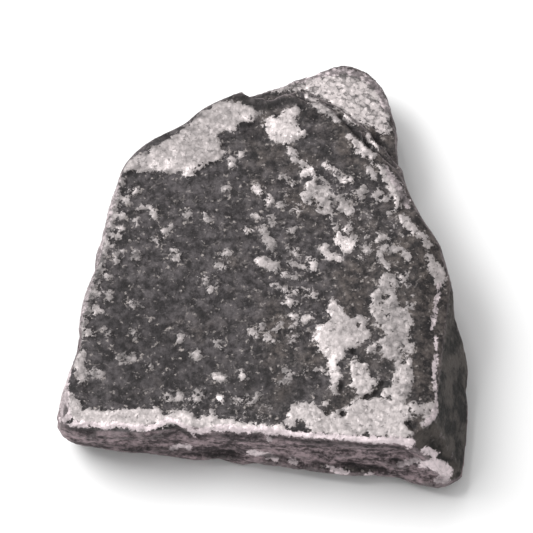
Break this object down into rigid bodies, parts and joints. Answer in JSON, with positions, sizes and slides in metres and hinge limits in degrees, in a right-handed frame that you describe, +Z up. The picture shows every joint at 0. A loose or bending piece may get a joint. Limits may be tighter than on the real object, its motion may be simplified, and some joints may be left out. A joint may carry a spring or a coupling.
{
  "type": "metallic slate piece",
  "caption": "Flat tumbled chip of dark slate with silvery mica on its split face, a stepped ledge at the back, a broken layered front and a worn side; a loose decorative stone.",
  "frame": {"origin": "on the surface that the chip lies on, under the middle of its bounding box", "axes": "+Z up through the thin way of the chip, across its cleavage layers; +X towards its worn facets; -Y towards its thick broken front edge and +Y towards its pointed back"},
  "size_m": [0.0352, 0.0396, 0.0072],
  "materials": {
    "metallic_slate": "satin"
  },
  "bodies": {
    "root": {"slate_chip": "metallic_slate"}
  },
  "joints": []
}
